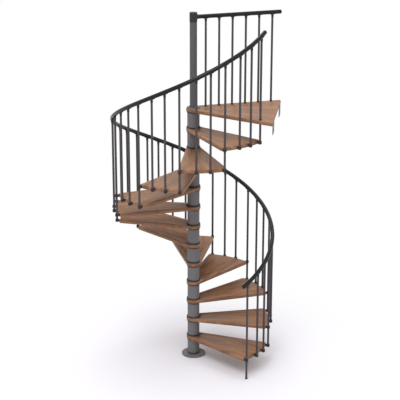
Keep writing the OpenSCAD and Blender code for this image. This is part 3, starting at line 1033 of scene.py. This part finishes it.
class STAIRCASE_OT_fittings(bpy.types.Operator):
    """Finishes the sockets, feet and the post's cap"""

    bl_idname = "staircase.fittings"
    bl_label = "Fittings"

    def execute(self, context):
        coat(["leg_foot", "rail_sockets", "landing_ring", "landing_foot_sockets", "landing_rail_sockets",
              "post_cap"], "moulded_black_plastic")
        return {"FINISHED"}


# Stage

WHITE = (1.0, 1.0, 1.0, 1.0)
FLOOR_R = 90.0
FLOOR_RINGS = 24
FLOOR_SIDES = 96
KEY_PLACE = (-1.7, -4.8, 8.6)
KEY_AIM = (0.0, 0.0, 1.4)
KEY_SIZE = 4.6
TOP_PLACE = (0.3, 2.2, 8.4)
TOP_AIM = (0.3, 2.2, 0.0)
TOP_SIZE = 2.4


def floor_paint(stage):
    """A pale matte floor that takes the stair's shadow and fades to white away from it."""
    material, paint = new_paint("pale_floor")
    distance = paint.node("ShaderNodeVectorMath", {"operation": "LENGTH"}, {0: paint.place()}, out="Value")
    fade = paint.node("ShaderNodeMapRange", {"interpolation_type": "SMOOTHSTEP"}, {
        "Value": distance, "From Min": stage.floor_fade_from, "From Max": stage.floor_fade_to})
    near = paint.node("ShaderNodeBsdfDiffuse", None, {"Color": opaque(stage.floor_colour)})
    far = paint.node("ShaderNodeEmission", None, {"Color": WHITE, "Strength": 1.0})
    surface = paint.node("ShaderNodeMixShader", None, {0: fade * paint.seen(), 1: near, 2: far})
    paint.node("ShaderNodeOutputMaterial", None, {"Surface": surface})
    return material


def make_floor(stage):
    """A flat round floor that faces up: rings whose radius grows with the square of their number, and a
    pole in the middle."""
    radii = FLOOR_R * np.linspace(0.0, 1.0, FLOOR_RINGS + 1)[1:] ** 2
    grid = turned_shape(np.stack([radii, np.zeros(radii.shape)], axis=-1), FLOOR_SIDES)
    points = np.concatenate([grid.reshape(-1, 3), np.zeros((1, 3))])
    faces = [grid_faces(FLOOR_RINGS, FLOOR_SIDES, False, True)[:, ::-1],
             fan_faces(0, FLOOR_SIDES, len(points) - 1, True)]
    mesh_object("floor", points, faces, floor_paint(stage))


def make_surroundings(stage):
    """Soft light that grows from the horizon to overhead, and white for what the camera sees."""
    world = bpy.data.worlds.new("studio")
    world.use_nodes = True
    bpy.context.scene.world = world
    paint = Paint(world.node_tree)
    direction = paint.node("ShaderNodeTexCoord", out="Generated")
    height = paint.node("ShaderNodeSeparateXYZ", None, {0: direction}, out="Z")
    level = paint.node("ShaderNodeMapRange", None, {
        "Value": height, "To Min": stage.sky_low, "To Max": stage.sky_high})
    seen = paint.seen()
    strength = level * (1.0 - seen) + seen
    back = paint.node("ShaderNodeBackground", None, {"Color": WHITE, "Strength": strength})
    paint.node("ShaderNodeOutputWorld", None, {"Surface": back})


def make_lamp(name, place, aim_at, size, watts):
    """A soft round lamp, turned to what it aims at."""
    data = bpy.data.lights.new(name, "AREA")
    data.shape = "DISK"
    data.size = size
    data.energy = watts
    lamp = bpy.data.objects.new(name, data)
    bpy.context.scene.collection.objects.link(lamp)
    lamp.location = place
    x, y, z = np.array(aim_at) - np.array(place)
    lamp.rotation_euler = (math.atan2(math.hypot(x, y), -z), 0.0, math.atan2(y, x) - QUARTER)


def make_camera(stage):
    """The camera at the photograph's viewing angle."""
    data = bpy.data.cameras.new("camera")
    data.lens = stage.camera_lens
    data.shift_x = stage.camera_shift
    camera = bpy.data.objects.new("camera", data)
    bpy.context.scene.collection.objects.link(camera)
    camera.location = stage.camera_place
    camera.rotation_euler = (QUARTER - stage.camera_pitch, 0.0, stage.camera_yaw)
    bpy.context.scene.camera = camera


class STAIRCASE_OT_stage(bpy.types.Operator):
    """Makes the floor, the light and the camera"""

    bl_idname = "staircase.stage"
    bl_label = "Stage"

    def execute(self, context):
        stage = context.scene.staircase_stage
        make_floor(stage)
        make_surroundings(stage)
        make_lamp("key", KEY_PLACE, KEY_AIM, KEY_SIZE, stage.key_power)
        make_lamp("top", TOP_PLACE, TOP_AIM, TOP_SIZE, stage.top_power)
        make_camera(stage)
        context.scene.view_settings.view_transform = "Standard"
        return {"FINISHED"}


# Panel and start

OPERATORS = (
    STAIRCASE_OT_treads,
    STAIRCASE_OT_landing,
    STAIRCASE_OT_handrail,
    STAIRCASE_OT_clips,
    STAIRCASE_OT_washers,
    STAIRCASE_OT_fixings,
    STAIRCASE_OT_metalwork,
    STAIRCASE_OT_fittings,
    STAIRCASE_OT_stage,
)
GROUPS = {
    "staircase_sizes": StaircaseSizes,
    "staircase_finish": StaircaseFinish,
    "staircase_stage": StaircaseStage,
}


class STAIRCASE_PT_pieces(bpy.types.Panel):
    """Lists the staircase's pieces in the sidebar"""

    bl_idname = "STAIRCASE_PT_pieces"
    bl_label = "Staircase"
    bl_space_type = "VIEW_3D"
    bl_region_type = "UI"
    bl_category = "Staircase"

    def draw(self, context):
        for operator in OPERATORS:
            self.layout.operator(operator.bl_idname)


def register():
    """Registers the properties, the operators and the panel."""
    for name, group in GROUPS.items():
        bpy.utils.register_class(group)
        setattr(bpy.types.Scene, name, bpy.props.PointerProperty(type=group))
    for operator in OPERATORS:
        bpy.utils.register_class(operator)
    bpy.utils.register_class(STAIRCASE_PT_pieces)


def unregister():
    """Undoes what register does, in the opposite order."""
    bpy.utils.unregister_class(STAIRCASE_PT_pieces)
    for operator in reversed(OPERATORS):
        bpy.utils.unregister_class(operator)
    for name, group in reversed(GROUPS.items()):
        delattr(bpy.types.Scene, name)
        bpy.utils.unregister_class(group)


def main():
    register()
    bpy.ops.staircase.treads()
    bpy.ops.staircase.landing()
    bpy.ops.staircase.handrail()
    bpy.ops.staircase.clips()
    bpy.ops.staircase.washers()
    bpy.ops.staircase.fixings()
    bpy.ops.staircase.metalwork()
    bpy.ops.staircase.fittings()
    bpy.ops.staircase.stage()


if __name__ == "__main__":
    main()
